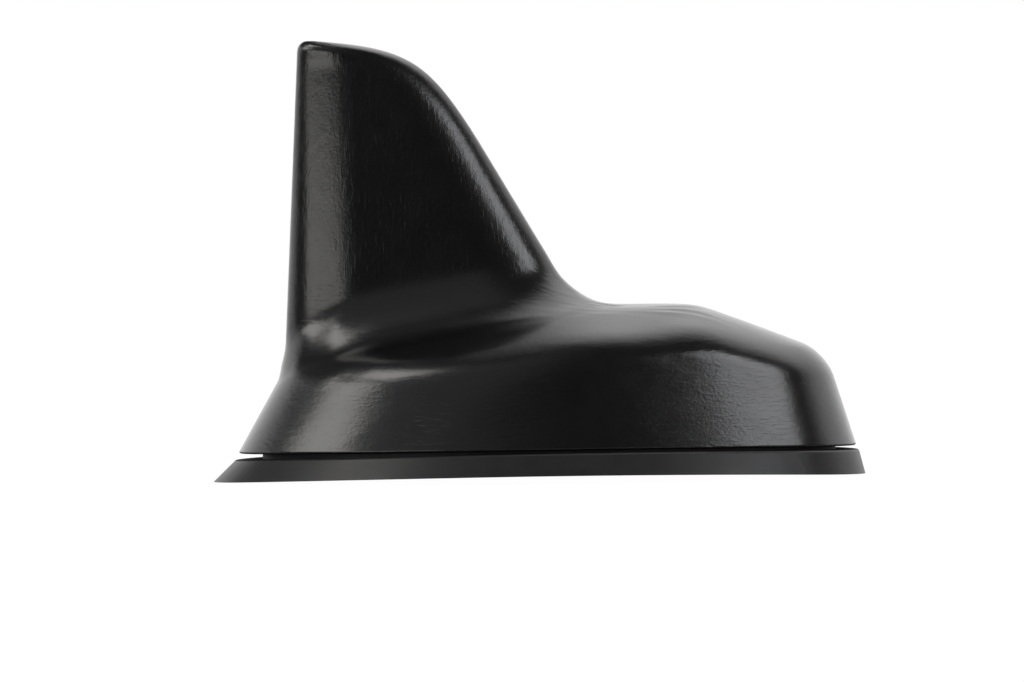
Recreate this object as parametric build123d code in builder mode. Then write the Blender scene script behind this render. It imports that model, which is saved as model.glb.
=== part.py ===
from build123d import *

# Shark fin aerial: a moulded fin cover over a rubber roof seal, with the aerials inside
# Millimetres, +X to the front of the car, +Z up, origin under the middle of the seal
import os
from collections import namedtuple
from math import cos, hypot, radians, sin, sqrt, tan

# Roof seal
seal_length = 110.0
seal_width = 64.0
seal_nose = 21.0
seal_height = 3.5
seal_rise = 1.47
seal_peak = 17.0
seal_rear_flare = 5.1
seal_front_flare = 1.3
seal_side_flare = 3.1
lip_rear_nose = 19.0
lip_front_nose = 20.0
lip_radius = 0.5
seal_floor = 2.7
groove_depth = 0.45
groove_width = 2.4
groove_edge = 6.0
roof_rise = 1.35
roof_peak = 6.0
well_margin = 5.0

# Cover, outside: its edge stands in from the seal's foot by a step all round
cover_gap = 1.12
edge_rise = 0.83
edge_radius = 0.3
cover_rear_step = 4.1
cover_front_step = 1.4
cover_side_step = 3.5
cover_widest = -8.0
widest_drift = 2.0
rear_nose = 19.0
rear_nose_top = 14.44
front_nose = 20.0
front_nose_top = 15.0
rear_lean = radians(29.2)
front_lean = radians(17.6)
side_lean = radians(13.0)
deck_top = 29.35
deck_crown = 45.0
deck_nose_crown = 37.0
deck_level_from = 10.0
deck_tail_fall = 8.75
deck_tail_power = 1.5
deck_nose_length = 29.6
deck_bend_radius = 3.5
deck_nose_slope = 0.395
shoulder_radius = 9.0
root_radius = 11.0

# Fin
fin_top = 74.2
fin_lead_angle = radians(59.4)
fin_rake_angle = radians(2.75)
fin_rear_step = 7.09
fin_foot_length = 67.72
fin_foot_half = 8.6
fin_top_half = 3.7
fin_rear_round = 12.5
fin_lead_round = 13.2
fin_round_taper = 0.45

# Crest of the fin: where the lead edge starts to curl back, how bluntly, and its roundings
crest_depth = 19.0
crest_blunt = 1.45
crest_corner = 1.7
crest_round = 2.2
crest_tip = 0.1

# Cover, inside
wall = 2.3
hollow_roof = 3.4
hollow_run = 19.7
hollow_fall = 5.2
gasket_thick = 1.0
ledge_thick = 1.8
ledge_width = 3.4
boss_radius = 3.5
boss_depth = 9.5
boss_gap = 0.5
rear_screw_angle = radians(134.0)

# Base plate
plate_height = 3.8
plate_floor = 1.9
plate_gap = 0.5
plate_rim = 6.0
pocket_gap = 0.15
pad_radius = 4.2
standoff_radius = 3.0
rib_thick = 1.6
rib_inset = 3.0
fixing_x = 4.0
fixing_radius = 7.0
fixing_rise = 0.46
thread_radius = 2.5
thread_depth = 6.0
thread_roof = 1.3
gasket_edge = 0.3
gasket_width = 1.8

# Screws
fit = 0.04
screw_gap = 0.25
cover_screw_radius = 1.46
cover_screw_length = 10.0
cover_head_radius = 2.75
cover_head_height = 1.6
board_screw_radius = 1.2
board_screw_length = 5.0
board_head_radius = 2.2
board_head_height = 1.4
hex_radius = 1.1
hex_depth = 0.8

# Board and its parts
board_clear = 0.4
board_thick = 1.6
board_gap = 0.6
board_taper = 2.2
board_corner = 2.5
board_screw_back = 2.6
board_screw_inset = 9.2
patch_size = 25.0
patch_thick = 4.0
patch_margin = 1.2
patch_corner = 1.6
tape_size = 22.0
tape_thick = 0.5
feed_radius = 0.5
feed_head = 1.0
can_length = 12.6
can_gap = 4.5
can_side_gap = 1.6
can_height = 3.2
can_wall = 0.3
chip_size = 3.0
chip_height = 0.9
filter_size = 1.6
filter_edge = 1.4
bit_length = 1.0
bit_width = 0.5
bit_edge = 3.5
bit_pitch = 6.0

# Sockets
socket_size = 9.4
socket_gap = 1.4
socket_rise = 0.86
socket_bore = 4.0
socket_roof = 1.9
socket_corner = 1.2
shell_radius = 2.3
shell_wall = 0.4
shell_recess = 0.9
insulator_length = 3.8
pin_radius = 0.45
pin_recess = 1.5

# Fin aerial
holder_half = 5.4
holder_foot = 2.2
holder_cheek = 1.6
holder_height = 13.2
cheek_inset = 3.2
peg_radius = 1.0
blade_thick = 0.5
blade_lift = 1.5
blade_rear_inset = 6.6
blade_lead_inset = 8.5
blade_roof_gap = 11.5
neck_inset = 4.0
slot_inset = 6.4
slot_width = 1.6
slot_length = 21.3
tab_width = 2.4
foam_drop = 13.0
foam_height = 9.0
foam_gap = 0.15
foam_inset = 8.0
foam_front_gap = 1.6

# Outline of an egg: its ends, half width, widest place and the radii of its two noses
Egg = namedtuple("Egg", "rear front half widest rear_nose front_nose")

# Arch along the car: its height at the rear tip of the seal, and its rise to a peak
Arch = namedtuple("Arch", "base rise peak")


def mix(a, b, t):
    return a + (b - a) * t


def ease(low, high, x):
    t = min(1.0, max(0.0, (x - low) / (high - low)))
    return t * t * (3 - 2 * t)


def inset(egg, gap):
    ends = (egg.rear + gap, egg.front - gap, egg.half - gap)
    return Egg(*ends, egg.widest, egg.rear_nose - gap, egg.front_nose - gap)


# Outside places worked out from the sizes above
foot_egg = Egg(-seal_length / 2, seal_length / 2, seal_width / 2, cover_widest, seal_nose, seal_nose)
lip_egg = Egg(
    foot_egg.rear + seal_rear_flare,
    foot_egg.front - seal_front_flare,
    foot_egg.half - seal_side_flare,
    cover_widest,
    lip_rear_nose,
    lip_front_nose,
)
roof_arch = Arch(0.0, roof_rise, roof_peak)
lip_arch = Arch(seal_height, seal_rise, seal_peak)
edge_z = seal_height + cover_gap
edge_arch = Arch(edge_z, edge_rise, seal_peak)
cover_rear = foot_egg.rear + cover_rear_step
cover_front = foot_egg.front - cover_front_step
cover_half = foot_egg.half - cover_side_step
deck_bend = cover_front - deck_nose_length
fin_rear_foot = cover_rear + fin_rear_step
fin_lead_foot = fin_rear_foot + fin_foot_length


def cover_egg(z):
    """Outline of the cover's skirt at a height."""
    rise = z - edge_z
    share = rise / (deck_top - edge_z)
    return Egg(
        cover_rear + rise * tan(rear_lean),
        cover_front - rise * tan(front_lean),
        cover_half - rise * tan(side_lean),
        cover_widest + widest_drift * share,
        mix(rear_nose, rear_nose_top, share),
        mix(front_nose, front_nose_top, share),
    )


def near_top(z, depth):
    """How far a height lies above the start of the fin's topmost part, up to its depth."""
    return min(depth, max(0.0, z - fin_top + depth))


def fin_rear(z):
    """Rear edge of the fin at a height, rounded in at its top corner."""
    over = near_top(z, crest_corner)
    return fin_rear_foot + z * tan(fin_rake_angle) + crest_corner - sqrt(crest_corner**2 - over**2)


def fin_lead(z):
    """Lead edge of the fin at a height: straight, then curling back to the top corner."""

    def straight(height):
        return fin_lead_foot - height / tan(fin_lead_angle)

    def curl(over):
        start = crest_depth + crest_blunt
        return 1 / (start - over) - 1 / start - over / start**2

    run = straight(fin_top) - fin_rear(fin_top) - crest_tip
    return straight(z) - run * curl(near_top(z, crest_depth)) / curl(crest_depth)


def fin_half(z):
    over = min(near_top(z, crest_round), crest_round - crest_tip)
    return mix(fin_foot_half, fin_top_half, z / fin_top) * sqrt(1 - (over / crest_round) ** 2)


# Inside places worked out from the sizes above
plate_top = seal_floor + plate_height
ledge_low = plate_top + gasket_thick
plan_wall = wall / cos(rear_lean)
plate_egg = inset(cover_egg(plate_top), plan_wall + plate_gap)
boss_inset = gasket_edge + gasket_width + boss_gap + boss_radius
front_screw_x = plate_egg.front - boss_inset
side_screw_y = plate_egg.half - boss_inset
rear_screw_reach = plate_egg.rear_nose - boss_inset
rear_screw_x = plate_egg.rear + plate_egg.rear_nose + rear_screw_reach * cos(rear_screw_angle)
rear_screw_y = rear_screw_reach * sin(rear_screw_angle)
cover_screw_spots = [(front_screw_x, 0.0)]
cover_screw_spots += [(plate_egg.widest, y) for y in (side_screw_y, -side_screw_y)]
cover_screw_spots += [(rear_screw_x, y) for y in (rear_screw_y, -rear_screw_y)]
head_seat = seal_floor + cover_head_height + screw_gap

fixing_face = roof_rise + fixing_rise
board_low = fixing_face + thread_depth + thread_roof + board_clear
board_top = board_low + board_thick
board_front = front_screw_x - boss_radius - board_gap
board_rear = rear_screw_x + boss_radius + board_gap
board_half = side_screw_y - boss_radius - board_gap
patch_x = board_front - patch_margin - patch_size / 2
patch_rear = patch_x - patch_size / 2
patch_low = board_top + tape_thick
patch_top = patch_low + patch_thick
board_screw_front = patch_rear - board_head_radius - board_screw_back
board_screw_rear = board_rear + board_screw_inset
board_screw_y = board_half - standoff_radius
board_screw_x = (board_screw_rear, board_screw_front)
board_screw_spots = [(x, y) for x in board_screw_x for y in (board_screw_y, -board_screw_y)]

gnss_x = fixing_x - fixing_radius - rib_thick - screw_gap - socket_size / 2
phone_x = gnss_x - socket_size - socket_gap
socket_mid = (gnss_x + phone_x) / 2
socket_run = gnss_x - phone_x + socket_size
socket_spots = [(gnss_x, 0), (phone_x, 0)]
socket_mouth = roof_rise + socket_rise
shell_mouth = socket_mouth + shell_recess
pin_mouth = socket_mouth + pin_recess
well_rear = phone_x - socket_size / 2 - well_margin
well_front = fixing_x + fixing_radius + well_margin

can_x = patch_rear - can_gap - can_length / 2
can_width = 2 * (board_screw_y - board_head_radius - can_side_gap)
filter_x = can_length / 2 - filter_edge
holder_rear = board_rear + board_gap
holder_front = can_x - can_length / 2 - can_gap
holder_length = holder_front - holder_rear
holder_mid = (holder_rear + holder_front) / 2
neck_rear = holder_rear + neck_inset
neck_front = holder_front - neck_inset
peg_x = (holder_rear + 2 * peg_radius, holder_front - 2 * peg_radius)
peg_y = holder_half - 2 * peg_radius
peg_spots = [(x, y) for x in peg_x for y in (peg_y, -peg_y)]
blade_foot = board_top + holder_foot
blade_low = blade_foot + holder_height + blade_lift
blade_top = fin_top - blade_roof_gap
blade_rear = fin_rear(blade_low) + blade_rear_inset
foam_low = blade_top - foam_drop
foam_high = foam_low + foam_height
foam_thick = fin_half(foam_high) - wall - blade_thick / 2 - foam_gap
foam_rear = blade_rear + foam_inset
foam_length = fin_lead(foam_high) - blade_lead_inset - foam_front_gap - foam_rear

# Room past the forms for the shapes that cut them, a short step for slopes, and the rows of the forms
clear = 30.0
probe = 0.1
tiny = 1e-6
outer_rows = 1.6
inner_rows = 2.6


def side_radius(reach, half, nose):
    run = reach - nose
    return (run**2 + half**2 - nose**2) / (2 * (half - nose))


def egg_line(egg):
    """Draw a closed outline: a nose arc at each end, and side arcs that meet at the widest place."""
    for way, reach, nose in (
        (1, egg.front - egg.widest, egg.front_nose),
        (-1, egg.widest - egg.rear, egg.rear_nose),
    ):
        radius = side_radius(reach, egg.half, nose)
        nose_mid = Vector(egg.widest + way * (reach - nose), 0)
        side_mid = Vector(egg.widest, egg.half - radius)
        top = Vector(egg.widest, egg.half)
        meet = nose_mid + (nose_mid - side_mid).normalized() * nose
        bulge = side_mid + (meet - side_mid + top - side_mid).normalized() * radius
        ThreePointArc((meet.X, -meet.Y), (egg.widest + way * reach, 0), (meet.X, meet.Y))
        for hand in (1, -1):
            ThreePointArc((meet.X, hand * meet.Y), (bulge.X, hand * bulge.Y), (top.X, hand * top.Y))


def arch_slab(low, high):
    """The space between two arches, right across the part."""
    with BuildPart() as slab:
        with BuildSketch(Plane.XZ):
            with BuildLine():
                lines = []
                for arch in (low, high):
                    fall = arch.rise * (seal_length / (seal_length / 2 + arch.peak)) ** 2
                    top = arch.base + arch.rise
                    ends = [(arch.peak + way * seal_length, top - fall) for way in (-1, 1)]
                    lines.append(ThreePointArc(ends[0], (arch.peak, top), ends[1]))
                Line(lines[0] @ 0, lines[1] @ 0)
                Line(lines[0] @ 1, lines[1] @ 1)
            make_face()
        extrude(amount=seal_width, both=True)
    return slab.part


# The cover's surfaces, each told by how far a point lies outside it
def egg_gap(egg, x, y):
    y = abs(y)
    if x >= egg.widest:
        reach, nose, along = egg.front - egg.widest, egg.front_nose, x - egg.widest
    else:
        reach, nose, along = egg.widest - egg.rear, egg.rear_nose, egg.widest - x
    radius = side_radius(reach, egg.half, nose)
    run = reach - nose
    over = y - egg.half + radius
    if run * over < (radius - egg.half) * along:
        return hypot(along - run, y) - nose
    return hypot(along, over) - radius


def skirt_gap(x, y, z):
    gap = egg_gap(cover_egg(z), x, y)
    lean = (egg_gap(cover_egg(z + probe), x, y) - gap) / probe
    return gap / sqrt(1 + lean**2)


def ridge_height(x):
    """Height of the deck along its middle: up from the tail, level, then down to the nose."""
    tail_share = max(0.0, (deck_level_from - x) / (deck_level_from - fin_rear_foot))
    nose_run = hypot(max(0.0, x - deck_bend), deck_bend_radius) - deck_bend_radius
    return deck_top - deck_tail_fall * tail_share**deck_tail_power - deck_nose_slope * nose_run


def deck_gap(x, y, z):
    axis_z = deck_top - mix(deck_crown, deck_nose_crown, ease(0.0, deck_bend, x))
    slope = (ridge_height(x + probe) - ridge_height(x - probe)) / (2 * probe)
    return (hypot(y, z - axis_z) - ridge_height(x) + axis_z) / sqrt(1 + slope**2)


def fin_ends(z):
    """Lengths of the rounded rear and front ends of the fin at a height, short of meeting."""
    most = 0.48
    limit = most * (fin_lead(z) - fin_rear(z))
    share = 1 + fin_round_taper * (0.5 - z / fin_top)
    return min(limit, fin_rear_round * share), min(limit, fin_lead_round * share)


def fin_plan_gap(x, y, z):
    rear_end, front_end = fin_ends(z)
    half = fin_half(z)
    rear_mid = fin_rear(z) + rear_end
    front_mid = fin_lead(z) - front_end
    if rear_mid <= x <= front_mid:
        return abs(y) - half
    mid, end = (rear_mid, rear_end) if x < rear_mid else (front_mid, front_end)
    u, v = (x - mid) / end, y / half
    size = hypot(u, v)
    if size < tiny:
        return -half
    return (size - 1) * size / hypot(u / end, v / half)


def fin_gap(x, y, z):
    gap = fin_plan_gap(x, y, z)
    lean = (fin_plan_gap(x, y, z + probe) - gap) / probe
    steepest = 1 / tan(fin_lead_angle)
    return gap / sqrt(1 + min(lean**2, steepest**2))


def turn(first, second, x, y, z):
    """One minus the cosine of the angle between two surfaces near a point."""
    normals = []
    for gap in (first, second):
        here = gap(x, y, z)
        rise = Vector(gap(x + probe, y, z) - here, gap(x, y + probe, z) - here, gap(x, y, z + probe) - here)
        normals.append(rise.normalized())
    return max(tiny, 1 - normals[0].dot(normals[1]))


def hump_gap(x, y, z):
    """Skirt and deck, with the shoulder rounded between them."""
    skirt, deck = skirt_gap(x, y, z), deck_gap(x, y, z)
    if min(skirt, deck) < -shoulder_radius:
        return max(skirt, deck)
    r = shoulder_radius * turn(skirt_gap, deck_gap, x, y, z)
    return min(-r, max(skirt, deck)) + hypot(max(r + skirt, 0), max(r + deck, 0))


def body_gap(x, y, z):
    """Hump and fin, with the fin's root hollowed between them."""
    hump, fin = hump_gap(x, y, z), fin_gap(x, y, z)
    if max(hump, fin) > 2 * root_radius:
        return min(hump, fin)
    r = root_radius * turn(hump_gap, fin_gap, x, y, z)
    return max(r, min(hump, fin)) - hypot(max(r - hump, 0), max(r - fin, 0))


def meet_form(start, way, depth):
    """Walk out from a point inside the cover until the form, set in by depth, is met."""
    shortest_stride = 0.5
    halvings = 14

    def outside(s):
        return body_gap(start.X + way.X * s, start.Y + way.Y * s, start.Z + way.Z * s) + depth

    near, far = 0.0, 0.0
    gap = outside(far)
    while gap < 0:
        near, far = far, far + max(shortest_stride, -gap / way.length)
        gap = outside(far)
    for _ in range(halvings):
        middle = (near + far) / 2
        if outside(middle) < 0:
            near = middle
        else:
            far = middle
    return start + way * near


def closing(start, end, count):
    """Angles from start to end that lie closer together near the end."""
    crowding = 1.6
    return [end + (start - end) * (1 - i / count) ** crowding for i in range(count + 1)]


def cover_form(depth, row_step, top):
    """Loft through rings that climb the skirt, cross the deck and run up the fin to the top."""
    rear_count, flank_count, front_count = 7, 12, 8
    rear_turn, front_turn = 100, 80
    spots = [(0.0, angle) for angle in reversed(closing(rear_turn, 180, rear_count)[1:])]
    flank_shares = [i / flank_count for i in range(flank_count)]
    spots += [(share, mix(rear_turn, front_turn, share)) for share in flank_shares]
    spots += [(1.0, angle) for angle in closing(front_turn, 0, front_count)]

    # Each ring starts on the middle plane at a level, and its rays rise by a climb as they go out
    skirt_step = 3.0
    tilting = ((2.9, 0.3), (0.0, 0.6), (-2.3, 0.8))
    straightening = (0.7, 0.4, 0.15)
    crest_count = 10
    climb_share = 1.4
    levels = [(edge_z + skirt_step * i, 0.0) for i in range(-3, 2)]
    levels += [(edge_z + rise, climb) for rise, climb in tilting]
    levels += [(row_step * i, 1.0) for i in range(int(climb_share * deck_top / row_step))]
    last, straight_from = levels[-1][0], fin_top - crest_depth
    shares = [(i + 1) / len(straightening) for i in range(len(straightening))]
    levels += [(mix(last, straight_from, share), climb) for share, climb in zip(shares, straightening)]
    levels += [(mix(top, straight_from, (1 - i / crest_count) ** 2), 0.0) for i in range(1, crest_count + 1)]

    # Low rings start within the skirt, high ones within the fin
    low_share, high_share, nose_share = 0.4, 1.15, 1.1
    low, high = low_share * deck_top, high_share * deck_top
    rings = []
    for level, climb in levels:
        blend = ease(low, high, level)
        rear_end, front_end = fin_ends(max(level, low))
        rear = mix(cover_rear + rear_nose, fin_rear(max(level, low)) + rear_end, blend)
        front = mix(cover_front - nose_share * front_nose, fin_lead(max(level, low)) - front_end, blend)
        ring = []
        for along, angle in spots:
            way = Vector(cos(radians(angle)), sin(radians(angle)), climb)
            ring.append(meet_form(Vector(mix(rear, front, along), 0, level), way, depth))
        rings.append(ring + [Vector(p.X, -p.Y, p.Z) for p in reversed(ring[1:-1])])
    count = len(rings[0])
    steps = [sum((ring[i] - ring[(i + 1) % count]).length for ring in rings) for i in range(count)]
    marks = [sum(steps[:i]) / sum(steps) for i in range(count)] + [1.0]
    splines = [Edge.make_spline(ring, periodic=True, parameters=marks) for ring in rings]
    return Solid.make_loft([Wire([spline]) for spline in splines])


outer_form = cover_form(0.0, outer_rows, fin_top - crest_tip)
inner_form = cover_form(wall, inner_rows, fin_top - hollow_roof + crest_tip)
under_cover = arch_slab(edge_arch._replace(base=-clear), edge_arch)
seal_band = arch_slab(roof_arch, lip_arch)
groove_band = arch_slab(roof_arch._replace(base=-clear), roof_arch._replace(base=groove_depth))

# Fin cover: the outer form hollowed to an even wall, with its lower edge rounded
with BuildPart() as hollow:
    add(inner_form)
    with BuildSketch(Plane.XZ):
        with BuildLine():
            Polyline(
                (fin_rear(fin_top), fin_top - hollow_roof),
                (fin_rear(fin_top) + hollow_run, fin_top - hollow_roof - hollow_fall),
                (cover_front + clear, deck_top),
                (cover_front + clear, -clear),
                (cover_rear - clear, -clear),
                (cover_rear - clear, fin_top - hollow_roof),
                close=True,
            )
        make_face()
    extrude(amount=seal_width, both=True, mode=Mode.INTERSECT)
    with BuildSketch(Plane.XY.offset(ledge_low)):
        Rectangle(2 * seal_length, 2 * seal_width)
        with BuildLine():
            egg_line(inset(cover_egg(ledge_low), plan_wall + ledge_width))
        make_face(mode=Mode.SUBTRACT)
    extrude(amount=ledge_thick, mode=Mode.SUBTRACT)
    with BuildSketch(Plane.XY.offset(plate_top)):
        with Locations(*cover_screw_spots):
            Circle(boss_radius)
    extrude(amount=deck_top, mode=Mode.SUBTRACT)

with BuildPart() as fin_cover:
    add(outer_form)
    add(hollow.part, mode=Mode.SUBTRACT)
    add(under_cover, mode=Mode.SUBTRACT)
    low_edges = fin_cover.edges().filter_by(lambda edge: edge.bounding_box().max.Z < plate_top)
    fillet(low_edges.sort_by(SortBy.LENGTH)[-1], edge_radius)
    with BuildSketch(Plane.XY.offset(plate_top)):
        with Locations(*cover_screw_spots):
            Circle(cover_screw_radius + fit)
    extrude(amount=boss_depth, mode=Mode.SUBTRACT)

# Base plate: a shallow tray that everything inside is fixed to
with BuildPart() as base_plate:
    with BuildSketch(Plane.XY.offset(seal_floor)):
        with BuildLine():
            egg_line(plate_egg)
        make_face()
    extrude(amount=plate_height)
    with BuildSketch(Plane.XY.offset(seal_floor + plate_floor)):
        with BuildLine():
            egg_line(inset(plate_egg, plate_rim))
        make_face()
    extrude(amount=plate_height, mode=Mode.SUBTRACT)
    with BuildSketch(Plane.XY.offset(seal_floor)):
        with Locations(*cover_screw_spots):
            Circle(pad_radius)
        with Locations((socket_mid, 0)):
            Rectangle(socket_run + 2 * rib_thick, socket_size + 4 * rib_thick)
        with Locations((0, board_screw_y), (0, -board_screw_y)):
            Rectangle(2 * (board_front - rib_inset), rib_thick)
        with Locations((fixing_x, 0)):
            Rectangle(rib_thick, 2 * board_screw_y)
            Rectangle(front_screw_x - fixing_x, rib_thick, align=(Align.MIN, Align.CENTER))
    extrude(amount=plate_height)
    with BuildSketch(Plane.XY.offset(seal_floor)):
        with Locations(*board_screw_spots):
            Circle(standoff_radius)
    extrude(amount=board_low - seal_floor)
    with BuildSketch(Plane.XY.offset(fixing_face)):
        with Locations((fixing_x, 0)):
            Circle(fixing_radius)
    extrude(amount=thread_depth + thread_roof)
    with BuildSketch(Plane.XY.offset(fixing_face)):
        with Locations((fixing_x, 0)):
            Circle(thread_radius)
    extrude(amount=thread_depth, mode=Mode.SUBTRACT)
    with BuildSketch(Plane.XY.offset(seal_floor)):
        with Locations((socket_mid, 0)):
            RectangleRounded(socket_run + 2 * screw_gap, socket_size + 2 * screw_gap, socket_corner)
        with Locations(*cover_screw_spots):
            Circle(cover_screw_radius + screw_gap)
    extrude(amount=plate_height, mode=Mode.SUBTRACT)
    with BuildSketch(Plane.XY.offset(head_seat)):
        with Locations(*cover_screw_spots):
            Circle(cover_head_radius + screw_gap)
    extrude(amount=seal_floor - head_seat, mode=Mode.SUBTRACT)
    with BuildSketch(Plane.XY.offset(board_low)):
        with Locations(*board_screw_spots):
            Circle(board_screw_radius + fit)
    extrude(amount=-board_screw_length, mode=Mode.SUBTRACT)

# Roof seal: a soft tray with a flared lip, open in the middle for the fixing and the sockets
with BuildPart() as groove_ring:
    with BuildSketch():
        with BuildLine():
            egg_line(inset(foot_egg, groove_edge))
        make_face()
        with BuildLine():
            egg_line(inset(foot_egg, groove_edge + groove_width))
        make_face(mode=Mode.SUBTRACT)
    extrude(amount=seal_height)
    add(groove_band, mode=Mode.INTERSECT)

with BuildPart() as roof_seal:
    for height, egg in ((0, foot_egg), (seal_height + seal_rise, lip_egg)):
        with BuildSketch(Plane.XY.offset(height)):
            with BuildLine():
                egg_line(egg)
            make_face()
    loft(ruled=True)
    add(seal_band, mode=Mode.INTERSECT)
    fillet(roof_seal.faces().sort_by(Axis.Z)[-1].edges(), lip_radius)
    with BuildSketch(Plane.XY.offset(seal_floor)):
        with BuildLine():
            egg_line(inset(plate_egg, -pocket_gap))
        make_face()
    extrude(amount=seal_height, mode=Mode.SUBTRACT)
    with BuildSketch():
        with Locations(((well_rear + well_front) / 2, 0)):
            SlotOverall(well_front - well_rear, 2 * (fixing_radius + well_margin))
    extrude(amount=seal_height, mode=Mode.SUBTRACT)
    add(groove_ring.part, mode=Mode.SUBTRACT)

# Gasket pressed between the plate's rim and the ledge inside the cover
with BuildPart() as cover_gasket:
    with BuildSketch(Plane.XY.offset(plate_top)):
        with BuildLine():
            egg_line(inset(plate_egg, gasket_edge))
        make_face()
        with BuildLine():
            egg_line(inset(plate_egg, gasket_edge + gasket_width))
        make_face(mode=Mode.SUBTRACT)
    extrude(amount=gasket_thick)

# Screws that hold the cover, put in from below
with BuildPart() as cover_screws:
    with BuildSketch(Plane.XY.offset(head_seat)):
        with Locations(*cover_screw_spots):
            Circle(cover_head_radius)
    extrude(amount=-cover_head_height)
    with BuildSketch(Plane.XY.offset(head_seat)):
        with Locations(*cover_screw_spots):
            Circle(cover_screw_radius)
    extrude(amount=cover_screw_length)
    with BuildSketch(Plane.XY.offset(head_seat - cover_head_height)):
        with Locations(*cover_screw_spots):
            RegularPolygon(hex_radius, 6)
    extrude(amount=hex_depth, mode=Mode.SUBTRACT)

# Circuit board
with BuildPart() as main_board:
    with BuildSketch(Plane.XY.offset(board_low)) as board_sketch:
        with BuildLine():
            Polyline(
                (board_rear, board_half),
                (patch_x, board_half),
                (board_front, board_half - board_taper),
                (board_front, board_taper - board_half),
                (patch_x, -board_half),
                (board_rear, -board_half),
                close=True,
            )
        make_face()
        fillet(board_sketch.vertices(), board_corner)
        with Locations(*board_screw_spots):
            Circle(board_screw_radius + screw_gap, mode=Mode.SUBTRACT)
        with Locations(*socket_spots):
            Circle(pin_radius + fit, mode=Mode.SUBTRACT)
        with Locations((patch_x, 0)):
            Circle(feed_radius + fit, mode=Mode.SUBTRACT)
        with Locations(*peg_spots):
            Circle(peg_radius + fit, mode=Mode.SUBTRACT)
        with Locations((socket_mid, 0)):
            Rectangle(tab_width + 2 * screw_gap, blade_thick + 2 * screw_gap, mode=Mode.SUBTRACT)
    extrude(amount=board_thick)

with BuildPart() as board_screws:
    with BuildSketch(Plane.XY.offset(board_top)):
        with Locations(*board_screw_spots):
            Circle(board_head_radius)
    extrude(amount=board_head_height)
    with BuildSketch(Plane.XY.offset(board_top)):
        with Locations(*board_screw_spots):
            Circle(board_screw_radius)
    extrude(amount=-board_screw_length)
    with BuildSketch(Plane.XY.offset(board_top + board_head_height)):
        with Locations(*board_screw_spots):
            RegularPolygon(hex_radius, 6)
    extrude(amount=-hex_depth, mode=Mode.SUBTRACT)

# Satellite patch aerial on its tape, fed by a pin
with BuildPart() as patch_tape:
    with BuildSketch(Plane.XY.offset(board_top)):
        with Locations((patch_x, 0)):
            Rectangle(tape_size, tape_size)
            Circle(feed_head, mode=Mode.SUBTRACT)
    extrude(amount=tape_thick)

with BuildPart() as gnss_patch:
    with BuildSketch(Plane.XY.offset(patch_low)) as patch_sketch:
        with Locations((patch_x, 0)):
            Rectangle(patch_size, patch_size)
        chamfer(patch_sketch.vertices().sort_by(SortBy.DISTANCE)[-2:], patch_corner)
        with Locations((patch_x, 0)):
            Circle(feed_radius + fit, mode=Mode.SUBTRACT)
    extrude(amount=patch_thick)

with BuildPart() as patch_pin:
    with BuildSketch(Plane.XY.offset(patch_top)):
        with Locations((patch_x, 0)):
            Circle(feed_head)
    extrude(amount=feed_radius)
    with BuildSketch(Plane.XY.offset(patch_top)):
        with Locations((patch_x, 0)):
            Circle(feed_radius)
    extrude(amount=board_low - feed_radius - patch_top)

# Amplifier under its screening can
with BuildPart() as shield_can:
    with BuildSketch(Plane.XY.offset(board_top)):
        with Locations((can_x, 0)):
            Rectangle(can_length, can_width)
    extrude(amount=can_height)
    with BuildSketch(Plane.XY.offset(board_top)):
        with Locations((can_x, 0)):
            Rectangle(can_length - 2 * can_wall, can_width - 2 * can_wall)
    extrude(amount=can_height - can_wall, mode=Mode.SUBTRACT)

with BuildPart() as amplifier_chip:
    with BuildSketch(Plane.XY.offset(board_top)):
        with Locations((can_x, 0)):
            Rectangle(chip_size, chip_size)
    extrude(amount=chip_height)

with BuildPart() as filters:
    with BuildSketch(Plane.XY.offset(board_top)):
        with Locations((can_x - filter_x, 0), (can_x + filter_x, 0)):
            Rectangle(filter_size, filter_size)
    extrude(amount=chip_height)

with BuildPart() as chip_parts:
    with BuildSketch(Plane.XY.offset(board_top)):
        with Locations((can_x, 0)):
            with GridLocations(bit_pitch, (can_width - 2 * bit_edge) / 3, 2, 4):
                Rectangle(bit_length, bit_width)
    extrude(amount=bit_width)


# Coaxial sockets under the board, facing down into the well
def socket_housing(x):
    with BuildPart() as housing:
        with BuildSketch(Plane.XY.offset(socket_mouth)):
            with Locations((x, 0)):
                RectangleRounded(socket_size, socket_size, socket_corner)
        extrude(amount=board_low - socket_mouth)
        with BuildSketch(Plane.XY.offset(socket_mouth)):
            with Locations((x, 0)):
                Circle(socket_bore)
        extrude(amount=board_low - socket_roof - socket_mouth, mode=Mode.SUBTRACT)
        with BuildSketch(Plane.XY.offset(socket_mouth)):
            with Locations((x, 0)):
                Circle(shell_radius + fit)
        extrude(amount=board_low - socket_mouth, mode=Mode.SUBTRACT)
    return housing


gnss_socket = socket_housing(gnss_x)
phone_socket = socket_housing(phone_x)

with BuildPart() as socket_shells:
    with BuildSketch(Plane.XY.offset(shell_mouth)):
        with Locations(*socket_spots):
            Circle(shell_radius)
            Circle(shell_radius - shell_wall, mode=Mode.SUBTRACT)
    extrude(amount=board_low - shell_mouth)

with BuildPart() as socket_insulators:
    with BuildSketch(Plane.XY.offset(board_low)):
        with Locations(*socket_spots):
            Circle(shell_radius - shell_wall - fit)
            Circle(pin_radius + fit, mode=Mode.SUBTRACT)
    extrude(amount=-insulator_length)

with BuildPart() as socket_pins:
    with BuildSketch(Plane.XY.offset(pin_mouth)):
        with Locations(*socket_spots):
            Circle(pin_radius)
    extrude(amount=board_top - pin_mouth)

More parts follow.
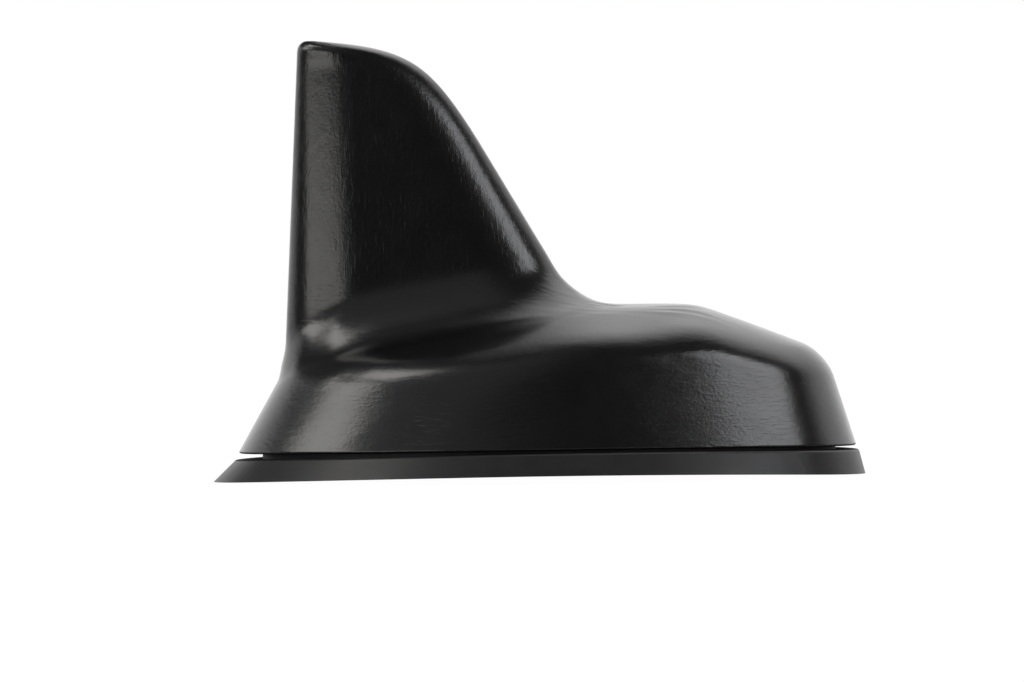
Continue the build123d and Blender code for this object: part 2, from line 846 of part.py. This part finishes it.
# Fin aerial: a stamped blade held upright by a moulded holder
with BuildPart() as blade_holder:
    with BuildSketch(Plane.XY.offset(board_top)):
        with Locations((holder_mid, 0)):
            Rectangle(holder_length, 2 * holder_half)
        with Locations((socket_mid, 0)):
            Rectangle(tab_width + 2 * screw_gap, blade_thick + 2 * screw_gap, mode=Mode.SUBTRACT)
    extrude(amount=holder_foot)
    with BuildSketch(Plane.XY.offset(blade_foot)):
        with Locations((holder_mid, 0)):
            Rectangle(holder_length - 2 * cheek_inset, blade_thick + 2 * fit + 2 * holder_cheek)
            Rectangle(holder_length, blade_thick + 2 * fit, mode=Mode.SUBTRACT)
    extrude(amount=holder_height)
    with BuildSketch(Plane.XY.offset(board_top)):
        with Locations(*peg_spots):
            Circle(peg_radius)
    extrude(amount=-board_thick)

with BuildPart() as radiator_blade:
    with BuildSketch(Plane.XZ):
        with BuildLine():
            Polyline(
                (blade_rear, blade_low),
                (fin_rear(blade_top) + blade_rear_inset, blade_top),
                (fin_lead(blade_top) - blade_lead_inset, blade_top),
                (fin_lead(blade_low) - blade_lead_inset, blade_low),
                (neck_front, blade_low),
                (neck_front, blade_foot),
                (neck_rear, blade_foot),
                (neck_rear, blade_low),
                close=True,
            )
        make_face()
        with Locations((blade_rear + slot_inset, blade_low)):
            Rectangle(slot_width, slot_length, align=(Align.CENTER, Align.MIN), mode=Mode.SUBTRACT)
        with Locations((socket_mid, board_low)):
            Rectangle(tab_width, blade_foot - board_low, align=(Align.CENTER, Align.MIN))
    extrude(amount=blade_thick / 2, both=True)

with BuildPart() as fin_foam:
    with BuildSketch(Plane.XY.offset(foam_low)):
        for hand in (1, -1):
            with Locations((foam_rear, hand * (blade_thick + foam_thick) / 2)):
                Rectangle(foam_length, foam_thick, align=(Align.MIN, Align.CENTER))
    extrude(amount=foam_height)

pieces = {
    "fin_cover": fin_cover,
    "roof_seal": roof_seal,
    "base_plate": base_plate,
    "cover_gasket": cover_gasket,
    "cover_screws": cover_screws,
    "main_board": main_board,
    "board_screws": board_screws,
    "patch_tape": patch_tape,
    "gnss_patch": gnss_patch,
    "patch_pin": patch_pin,
    "shield_can": shield_can,
    "amplifier_chip": amplifier_chip,
    "filters": filters,
    "chip_parts": chip_parts,
    "gnss_socket": gnss_socket,
    "phone_socket": phone_socket,
    "socket_shells": socket_shells,
    "socket_insulators": socket_insulators,
    "socket_pins": socket_pins,
    "blade_holder": blade_holder,
    "radiator_blade": radiator_blade,
    "fin_foam": fin_foam,
}
os.makedirs("parts", exist_ok=True)
for name, piece in pieces.items():
    piece.part.label = name
    export_step(piece.part, f"parts/{name}.step")
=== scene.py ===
from math import cos, pi, radians, sin

import bpy
from bpy.props import FloatProperty, FloatVectorProperty, PointerProperty
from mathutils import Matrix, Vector

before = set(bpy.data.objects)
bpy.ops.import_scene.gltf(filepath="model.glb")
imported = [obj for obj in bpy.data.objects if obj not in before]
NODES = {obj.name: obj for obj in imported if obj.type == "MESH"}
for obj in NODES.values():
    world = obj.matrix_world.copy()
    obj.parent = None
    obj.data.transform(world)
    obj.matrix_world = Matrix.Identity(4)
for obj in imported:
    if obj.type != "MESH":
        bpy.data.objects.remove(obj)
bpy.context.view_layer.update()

bl_info = {
    "name": "Shark Fin Aerial",
    "version": (1, 0, 0),
    "blender": (4, 5, 0),
    "location": "View3D > Sidebar > Aerial",
    "description": "Finishes, lights and stages a car's shark fin roof aerial",
    "category": "Object",
}

MM = 0.001
WHITE = (1.0, 1.0, 1.0, 1.0)
BLACK = (0.0, 0.0, 0.0, 1.0)


def colour_property(label, description, default):
    return FloatVectorProperty(
        name=label, description=description, default=default, size=3, subtype="COLOR", min=0.0, max=1.0
    )


def length_property(label, description, default):
    return FloatProperty(
        name=label, description=description, default=default, unit="LENGTH", precision=5
    )


def share_property(label, description, default):
    return FloatProperty(name=label, description=description, default=default, min=0.0, max=1.0)


def strength_property(label, description, default):
    return FloatProperty(name=label, description=description, default=default, min=0.0)


class CoverFinish(bpy.types.PropertyGroup):
    colour: colour_property("Plastic", "Colour of the moulded cover", (0.0010, 0.0010, 0.0011))
    grain: length_property("Grain", "Width of one wrinkle of the moulded grain", 0.5 * MM)
    stroke: length_property("Stroke", "Length of one wrinkle of the moulded grain", 2.4 * MM)
    grain_depth: length_property("Grain depth", "Height of the moulded grain", 0.05 * MM)
    fin_low: length_property("Fin foot", "Height where the wrinkles start to turn upright", 27 * MM)
    fin_high: length_property("Fin grain", "Height where all the wrinkles stand upright", 38 * MM)
    creases: share_property("Creases", "Share of the creases in the grain's height", 0.07)
    strokes: share_property("Strokes", "Share of the long wrinkles in the grain's height", 0.5)
    pebbles: share_property("Pebbles", "Share of the small bumps in the grain's height", 0.25)
    roughness: share_property("Roughness", "How dull the plastic is", 0.23)


class SealFinish(bpy.types.PropertyGroup):
    colour: colour_property("Rubber", "Colour of the roof seal", (0.011, 0.011, 0.0115))
    mottle: length_property("Mottle", "Size of the cloudy marks in the rubber", 5.0 * MM)
    roughness: share_property("Roughness", "How dull the rubber is", 0.4)


class InnerFinish(bpy.types.PropertyGroup):
    casting: colour_property("Casting", "Colour of the die cast base plate", (0.52, 0.52, 0.53))
    # Edge: painted shade for the base plate's upright faces, which show dark in the gap under the cover.
    edge: colour_property("Edge", "Colour of the blackened edge of the base plate", (0.05, 0.05, 0.053))
    steel: colour_property("Steel", "Colour of the plated screws", (0.62, 0.62, 0.64))
    tin: colour_property("Tin", "Colour of the screening can", (0.70, 0.70, 0.69))
    gilt: colour_property("Gilt", "Colour of the gilt contacts", (0.83, 0.62, 0.27))
    board: colour_property("Board", "Colour of the circuit board's lacquer", (0.012, 0.11, 0.045))
    ceramic: colour_property("Ceramic", "Colour of the fired patch", (0.55, 0.43, 0.31))
    gnss: colour_property("Satellite socket", "Colour of the satellite socket", (0.02, 0.09, 0.42))
    phone: colour_property("Phone socket", "Colour of the phone socket", (0.20, 0.015, 0.05))
    white: colour_property("Insulator", "Colour of the sockets' insulators", (0.80, 0.80, 0.77))
    grey: colour_property("Holder", "Colour of the blade's holder", (0.22, 0.22, 0.23))
    black: colour_property("Chip", "Colour of the chips", (0.014, 0.014, 0.015))
    foam: colour_property("Foam", "Colour of the foam pads and tape", (0.07, 0.07, 0.072))


class StageSettings(bpy.types.PropertyGroup):
    distance: length_property("Camera distance", "From the camera to the middle of the aerial", 0.70)
    view_width: length_property("View width", "Width of the picture at the aerial", 0.1728)
    aim_x: length_property("Aim along", "Where the camera points along the car", -4.5 * MM)
    aim_z: length_property("Aim height", "Height of the camera", 23.25 * MM)
    roll: FloatProperty(
        name="Roll", description="Tilt of the camera", default=radians(0.52), subtype="ANGLE"
    )
    floor: colour_property("Floor", "Colour of the floor", (0.30, 0.30, 0.30))
    floor_radius: length_property("Floor radius", "From the middle of the floor to its edge", 3.0)
    floor_white: strength_property("Floor white", "Brightness of the floor to the eye", 1.16)
    floor_share: share_property("Floor share", "Share of that white in the floor to the eye", 0.85)
    left: strength_property("Left", "Brightness of the left softbox", 5.0)
    high: strength_property("High", "Brightness of the high softbox on the left", 5.2)
    right: strength_property("Right", "Brightness of the right softbox", 5.3)
    low: strength_property("Low", "Brightness of the two low softboxes", 2.9)
    wall: strength_property("Wall", "Brightness of the wall behind", 1.35)
    haze: strength_property("Haze", "Brightness of the ceiling on the camera's left", 0.3)
    room: strength_property("Room", "Brightness of the rest of the room", 0.04)


class Wire:
    """A socket of a material, which sums can be written with."""

    def __init__(self, finish, socket):
        self.finish = finish
        self.socket = socket

    def sum(self, operation, *terms):
        return self.finish.node("ShaderNodeMath", {"operation": operation}, dict(enumerate(terms)))

    def __add__(self, other):
        return self.sum("ADD", self, other)

    def __radd__(self, other):
        return self.sum("ADD", other, self)

    def __sub__(self, other):
        return self.sum("SUBTRACT", self, other)

    def __rsub__(self, other):
        return self.sum("SUBTRACT", other, self)

    def __mul__(self, other):
        return self.sum("MULTIPLY", self, other)

    def __rmul__(self, other):
        return self.sum("MULTIPLY", other, self)


class Finish:
    """A node tree of a material or of the world, filled node by node."""

    def __init__(self, owner):
        owner.use_nodes = True
        self.owner = owner
        self.tree = owner.node_tree
        self.tree.nodes.clear()

    def node(self, kind, settings=None, sockets=None, out=0):
        """Add a node: its settings first, then values or links for its sockets."""
        node = self.tree.nodes.new(kind)
        for key, value in (settings or {}).items():
            setattr(node, key, value)
        for key, value in (sockets or {}).items():
            if isinstance(value, Wire):
                self.tree.links.new(value.socket, node.inputs[key])
            else:
                node.inputs[key].default_value = value
        return Wire(self, node.outputs[out] if len(node.outputs) else None)

    def place(self, steps):
        """Where a point lies on the piece, in steps of a length, or of a length for each axis."""
        where = self.node("ShaderNodeTexCoord", out="Object")
        steps = steps if isinstance(steps, tuple) else (steps, steps, steps)
        return self.node("ShaderNodeVectorMath", {"operation": "DIVIDE"}, {0: where, 1: steps})

    def noise(self, steps, detail=2.0, distortion=0.0):
        sockets = {"Vector": self.place(steps), "Scale": 1.0, "Detail": detail, "Distortion": distortion}
        return self.node("ShaderNodeTexNoise", {}, sockets)

    def cells(self, steps):
        return self.node("ShaderNodeTexVoronoi", {}, {"Vector": self.place(steps), "Scale": 1.0})

    def ramp(self, value, low, high):
        """Clamp a value between two levels to the span from 0 to 1."""
        sockets = {"Value": value, "From Min": low, "From Max": high}
        return self.node("ShaderNodeMapRange", {"interpolation_type": "SMOOTHSTEP"}, sockets)

    def lerp(self, share, first, second):
        """Mix two numbers by a share."""
        return share * second + (1.0 - share) * first

    def apart(self, value, middle):
        """How far a value lies from a middle, either way."""
        return self.node("ShaderNodeMath", {"operation": "ABSOLUTE"}, {0: value - middle})

    def blend(self, share, first, second):
        """Mix two colours by a share."""
        sockets = {0: share, 6: as_colour(first), 7: as_colour(second)}
        return self.node("ShaderNodeMix", {"data_type": "RGBA"}, sockets, out=2)

    def bump(self, height, depth):
        return self.node("ShaderNodeBump", {}, {"Height": height, "Distance": depth, "Strength": 1.0})

    def rise(self):
        """How far a face looks up: 1 on a level top, 0 on an upright side and -1 underneath."""
        way = self.node("ShaderNodeNewGeometry", out="Normal")
        return self.node("ShaderNodeSeparateXYZ", {}, {0: way}, out="Z")

    def seen(self):
        """Whether the eye looks this way, straight or through glass."""
        straight = self.node("ShaderNodeLightPath", out="Is Camera Ray")
        return straight + self.node("ShaderNodeLightPath", out="Is Transmission Ray")

    def surface(self, sockets):
        shader = self.node("ShaderNodeBsdfPrincipled", {}, sockets)
        self.node("ShaderNodeOutputMaterial", {}, {"Surface": shader})
        return self.owner


def as_colour(value):
    return value if isinstance(value, Wire) else (*value[:3], 1.0)


def dimmer(colour, share):
    return tuple(share * c for c in colour)


def new_finish(name):
    return Finish(bpy.data.materials.new(name))


def put_on(material, *names):
    for name in names:
        NODES[name].data.materials.clear()
        NODES[name].data.materials.append(material)


def grained_plastic(looks):
    """Black moulded plastic with a fine leathery grain, level on the hump and upright on the fin."""
    finish = new_finish("grained_plastic")
    level = finish.noise((looks.stroke, looks.stroke, looks.grain), 2.0, 0.5)
    upright = finish.noise((looks.grain, looks.grain, looks.stroke), 2.0, 0.5)
    pebbles = finish.noise(looks.grain, 1.0)
    where = finish.node("ShaderNodeSeparateXYZ", {}, {0: finish.place(1.0)}, out="Z")
    on_fin = finish.ramp(where, looks.fin_low, looks.fin_high)
    strokes = finish.lerp(on_fin, level, upright)
    creases = finish.ramp(finish.apart(strokes, 0.5), 0.0, 0.14)
    steep = finish.ramp(finish.rise(), 0.85, 0.5)
    wrinkles = looks.creases * creases + looks.strokes * strokes
    height = steep * wrinkles + looks.pebbles * pebbles
    patches = finish.noise(9 * looks.grain, 3.0)
    return finish.surface({
        "Base Color": finish.blend(patches, dimmer(looks.colour, 0.8), dimmer(looks.colour, 1.25)),
        "Roughness": looks.roughness - 0.04 + 0.08 * patches,
        "Normal": finish.bump(height, looks.grain_depth),
    })


def moulded_rubber(looks):
    """Dark rubber with a cloudy bloom, duller where it faces up under the cover, and with painted shade
    that darkens those up-facing faces.
    """
    finish = new_finish("moulded_rubber")
    clouds = finish.noise(looks.mottle, 4.0, 0.4)
    pits = finish.noise(0.35 * MM, 2.0)
    # Painted shade: faces that look up, under the cover, are darkened in colour here; the same mask also
    # dulls them.
    painted_shade_lip = finish.ramp(finish.rise(), 0.8, 0.95)
    bloom = finish.blend(clouds, dimmer(looks.colour, 0.75), dimmer(looks.colour, 1.3))
    return finish.surface({
        # Painted shade: the up-facing lip gets a darker colour.
        "Base Color": finish.blend(painted_shade_lip, bloom, dimmer(looks.colour, 0.3)),
        "Roughness": looks.roughness - 0.08 + 0.16 * clouds + 0.5 * painted_shade_lip,
        "Specular IOR Level": 0.3,
        "Normal": finish.bump(pits, 0.006 * MM),
    })


def sponge_rubber(looks):
    """Matt black sponge rubber, which the gap under the cover shows as a dark line."""
    finish = new_finish("sponge_rubber")
    pores = finish.cells(0.4 * MM)
    return finish.surface({
        "Base Color": finish.blend(pores, dimmer(looks.colour, 0.1), dimmer(looks.colour, 0.25)),
        "Roughness": 0.95,
        "Specular IOR Level": 0.04,
        "Normal": finish.bump(pores, 0.03 * MM),
    })


def moulded_plastic(name, colour):
    """Plain moulded plastic with a slight orange peel."""
    finish = new_finish(name)
    peel = finish.noise(0.5 * MM, 2.0)
    return finish.surface({
        "Base Color": finish.blend(peel, dimmer(colour, 0.9), colour),
        "Roughness": 0.38 + 0.1 * peel,
        "Normal": finish.bump(peel, 0.008 * MM),
    })


def cast_metal(looks):
    """Die cast metal with flow marks in its skin, and painted shade that darkens its upright faces,
    which show in the gap under the cover.
    """
    finish = new_finish("cast_metal")
    flow = finish.noise(6 * MM, 5.0, 1.5)
    skin = finish.noise(0.3 * MM, 3.0)
    # Painted shade: upright faces, seen in the gap under the cover, are darkened in colour.
    upright = finish.ramp(finish.apart(finish.rise(), 0.0), 0.6, 0.3)
    bare = finish.blend(flow, dimmer(looks.casting, 0.72), looks.casting)
    return finish.surface({
        # Painted shade: the upright faces take the dark edge colour.
        "Base Color": finish.blend(upright, bare, looks.edge),
        "Metallic": 1.0,
        "Roughness": 0.5 + 0.16 * flow,
        "Normal": finish.bump(skin, 0.012 * MM),
    })


def bright_metal(name, colour, roughness):
    """Plated or gilt metal with faint draw marks."""
    finish = new_finish(name)
    marks = finish.noise(0.8 * MM, 4.0, 2.0)
    return finish.surface({
        "Base Color": finish.blend(marks, dimmer(colour, 0.85), colour),
        "Metallic": 1.0,
        "Roughness": roughness + 0.1 * marks,
    })


def lacquered_board(looks):
    """Green lacquer over the lighter lines of the tracks."""
    finish = new_finish("lacquered_board")
    tracks = finish.node(
        "ShaderNodeTexBrick",
        {"offset": 0.5},
        {
            "Vector": finish.place(9 * MM),
            "Color1": BLACK,
            "Color2": BLACK,
            "Mortar": WHITE,
            "Scale": 4.0,
            "Mortar Size": 0.06,
        },
        out="Fac",
    )
    return finish.surface({
        "Base Color": finish.blend(tracks, looks.board, dimmer(looks.board, 1.9)),
        "Roughness": 0.28 + 0.06 * tracks,
        "Normal": finish.bump(tracks, 0.02 * MM),
    })


def fired_ceramic(looks):
    finish = new_finish("fired_ceramic")
    specks = finish.noise(0.4 * MM, 4.0)
    return finish.surface({
        "Base Color": finish.blend(specks, dimmer(looks.ceramic, 0.8), looks.ceramic),
        "Roughness": 0.55 + 0.1 * specks,
        "Normal": finish.bump(specks, 0.01 * MM),
    })


def foam(looks):
    finish = new_finish("foam")
    pores = finish.cells(0.6 * MM)
    return finish.surface({
        "Base Color": finish.blend(pores, dimmer(looks.foam, 0.5), looks.foam),
        "Roughness": 0.9,
        "Normal": finish.bump(pores, 0.15 * MM),
    })


class AERIAL_OT_cover(bpy.types.Operator):
    """Give the fin cover its black grained plastic"""

    bl_idname = "aerial.cover"
    bl_label = "Fin cover"

    def execute(self, context):
        put_on(grained_plastic(context.scene.aerial_cover), "fin_cover")
        return {"FINISHED"}


class AERIAL_OT_seal(bpy.types.Operator):
    """Give the roof seal and the gasket their rubber"""

    bl_idname = "aerial.seal"
    bl_label = "Roof seal"

    def execute(self, context):
        looks = context.scene.aerial_seal
        put_on(moulded_rubber(looks), "roof_seal")
        put_on(sponge_rubber(looks), "cover_gasket")
        return {"FINISHED"}


class AERIAL_OT_base(bpy.types.Operator):
    """Give the base plate and the screws their metal"""

    bl_idname = "aerial.base"
    bl_label = "Base plate and screws"

    def execute(self, context):
        looks = context.scene.aerial_inner
        put_on(cast_metal(looks), "base_plate")
        put_on(bright_metal("plated_steel", looks.steel, 0.25), "cover_screws", "board_screws")
        return {"FINISHED"}


class AERIAL_OT_board(bpy.types.Operator):
    """Give the circuit board and the parts on it their finishes"""

    bl_idname = "aerial.board"
    bl_label = "Circuit board"

    def execute(self, context):
        looks = context.scene.aerial_inner
        put_on(lacquered_board(looks), "main_board")
        put_on(bright_metal("tinned_steel", looks.tin, 0.3), "shield_can")
        put_on(moulded_plastic("chip_resin", looks.black), "amplifier_chip", "chip_parts")
        put_on(moulded_plastic("filter_lid", looks.grey), "filters")
        return {"FINISHED"}


class AERIAL_OT_aerials(bpy.types.Operator):
    """Give the satellite patch and the fin's blade their finishes"""

    bl_idname = "aerial.aerials"
    bl_label = "Patch and blade"

    def execute(self, context):
        looks = context.scene.aerial_inner
        put_on(fired_ceramic(looks), "gnss_patch")
        put_on(bright_metal("gilt_aerial", looks.gilt, 0.22), "patch_pin", "radiator_blade")
        put_on(foam(looks), "patch_tape", "fin_foam")
        put_on(moulded_plastic("holder_plastic", looks.grey), "blade_holder")
        return {"FINISHED"}


class AERIAL_OT_sockets(bpy.types.Operator):
    """Give the two sockets their coloured housings and gilt contacts"""

    bl_idname = "aerial.sockets"
    bl_label = "Sockets"

    def execute(self, context):
        looks = context.scene.aerial_inner
        put_on(moulded_plastic("gnss_plastic", looks.gnss), "gnss_socket")
        put_on(moulded_plastic("phone_plastic", looks.phone), "phone_socket")
        put_on(moulded_plastic("insulator_plastic", looks.white), "socket_insulators")
        put_on(bright_metal("gilt_contacts", looks.gilt, 0.2), "socket_shells", "socket_pins")
        return {"FINISHED"}


def studio_floor(looks):
    """White to the eye, but still darker in a shadow."""
    finish = new_finish("studio_floor")
    matt = finish.node("ShaderNodeBsdfDiffuse", {}, {"Color": as_colour(looks.floor)})
    glow = {"Color": WHITE, "Strength": looks.floor_white}
    white = finish.node("ShaderNodeEmission", {}, glow)
    share = looks.floor_share * finish.seen()
    mixed = finish.node("ShaderNodeMixShader", {}, {0: share, 1: matt, 2: white})
    finish.node("ShaderNodeOutputMaterial", {}, {"Surface": mixed})
    return finish.owner


def studio_room(looks):
    """White to the eye; reflections show a lit wall behind and a dim room in front."""
    finish = Finish(bpy.data.worlds.new("studio_room"))
    way = finish.node("ShaderNodeTexCoord", out="Generated")
    right, along, up = (finish.node("ShaderNodeSeparateXYZ", {}, {0: way}, out=axis) for axis in "XYZ")
    low_wall = finish.ramp(up, 0.55, 0.4)
    tall_wall = 1.0 + 0.9 * finish.ramp(up, 0.5, 0.85)
    to_right = finish.ramp(right, -0.2, 0.12)
    wall = finish.lerp(to_right, low_wall, tall_wall) * finish.ramp(along, -0.2, 0.3)
    haze = finish.ramp(up, 0.1, 0.5) * finish.ramp(right, 0.2, -0.1) * finish.ramp(along, -0.1, -0.4)
    room = 1.0 + 2.0 * finish.ramp(up, 0.0, 0.6)
    light = looks.wall * wall + looks.haze * haze + looks.room * room
    strength = finish.lerp(finish.seen(), light, 1.0)
    back = finish.node("ShaderNodeBackground", {}, {"Color": WHITE, "Strength": strength})
    finish.node("ShaderNodeOutputWorld", {}, {"Surface": back})
    return finish.owner


def softbox(name, strength, tint, turn, rise, size):
    """An area lamp that faces the aerial, so many degrees round from the camera and up."""
    reach = 0.6
    lamp = bpy.data.lights.new(name, "AREA")
    lamp.shape = "RECTANGLE"
    lamp.size, lamp.size_y = size
    lamp.energy = strength * pi * lamp.size * lamp.size_y
    lamp.color = tint
    spot = bpy.data.objects.new(name, lamp)
    turn, rise = radians(turn), radians(rise)
    away = Vector((sin(turn) * cos(rise), -cos(turn) * cos(rise), sin(rise)))
    spot.location = reach * away
    spot.rotation_euler = away.to_track_quat("Z", "Y").to_euler()
    bpy.context.scene.collection.objects.link(spot)


class AERIAL_OT_stage(bpy.types.Operator):
    """Set up the floor, the room, the softboxes and the camera"""

    bl_idname = "aerial.stage"
    bl_label = "Stage"

    def execute(self, context):
        scene = context.scene
        looks = scene.aerial_stage
        scene.view_settings.view_transform = "Standard"
        scene.world = studio_room(looks)

        bpy.ops.mesh.primitive_circle_add(vertices=96, radius=looks.floor_radius, fill_type="NGON")
        floor = context.object
        floor.name = "studio_floor"
        floor.data.materials.append(studio_floor(looks))

        warm, cool = (1.0, 0.985, 0.95), (0.96, 0.975, 1.0)
        softbox("softbox_left", looks.left, warm, turn=-73, rise=30, size=(0.24, 0.21))
        softbox("softbox_high", looks.high, warm, turn=-73, rise=55, size=(0.22, 0.21))
        softbox("softbox_right", looks.right, cool, turn=53, rise=29, size=(0.2, 0.26))
        softbox("softbox_low_left", looks.low, warm, turn=-41, rise=5, size=(0.46, 0.21))
        softbox("softbox_low_right", looks.low, cool, turn=38, rise=3, size=(0.24, 0.15))

        lens = bpy.data.cameras.new("camera")
        lens.sensor_width = 36.0
        lens.lens = lens.sensor_width * looks.distance / looks.view_width
        lens.clip_start = 0.01
        camera = bpy.data.objects.new("camera", lens)
        camera.location = (looks.aim_x, -looks.distance, looks.aim_z)
        camera.rotation_euler = (pi / 2, looks.roll, 0.0)
        scene.collection.objects.link(camera)
        scene.camera = camera
        return {"FINISHED"}


STEPS = (
    AERIAL_OT_cover,
    AERIAL_OT_seal,
    AERIAL_OT_base,
    AERIAL_OT_board,
    AERIAL_OT_aerials,
    AERIAL_OT_sockets,
    AERIAL_OT_stage,
)
SETTINGS = {
    "aerial_cover": CoverFinish,
    "aerial_seal": SealFinish,
    "aerial_inner": InnerFinish,
    "aerial_stage": StageSettings,
}


class AERIAL_PT_sidebar(bpy.types.Panel):
    """Lists the aerial's steps and settings"""

    bl_idname = "AERIAL_PT_sidebar"
    bl_label = "Shark Fin Aerial"
    bl_space_type = "VIEW_3D"
    bl_region_type = "UI"
    bl_category = "Aerial"

    def draw(self, context):
        for step in STEPS:
            self.layout.operator(step.bl_idname)
        for name, group in SETTINGS.items():
            box = self.layout.box()
            for key in group.__annotations__:
                box.prop(getattr(context.scene, name), key)


def register():
    for group in SETTINGS.values():
        bpy.utils.register_class(group)
    for name, group in SETTINGS.items():
        setattr(bpy.types.Scene, name, PointerProperty(type=group))
    for step in STEPS:
        bpy.utils.register_class(step)
    bpy.utils.register_class(AERIAL_PT_sidebar)


def unregister():
    bpy.utils.unregister_class(AERIAL_PT_sidebar)
    for step in reversed(STEPS):
        bpy.utils.unregister_class(step)
    for name in SETTINGS:
        delattr(bpy.types.Scene, name)
    for group in SETTINGS.values():
        bpy.utils.unregister_class(group)


def main():
    register()
    bpy.ops.aerial.cover()
    bpy.ops.aerial.seal()
    bpy.ops.aerial.base()
    bpy.ops.aerial.board()
    bpy.ops.aerial.aerials()
    bpy.ops.aerial.sockets()
    bpy.ops.aerial.stage()


if __name__ == "__main__":
    main()
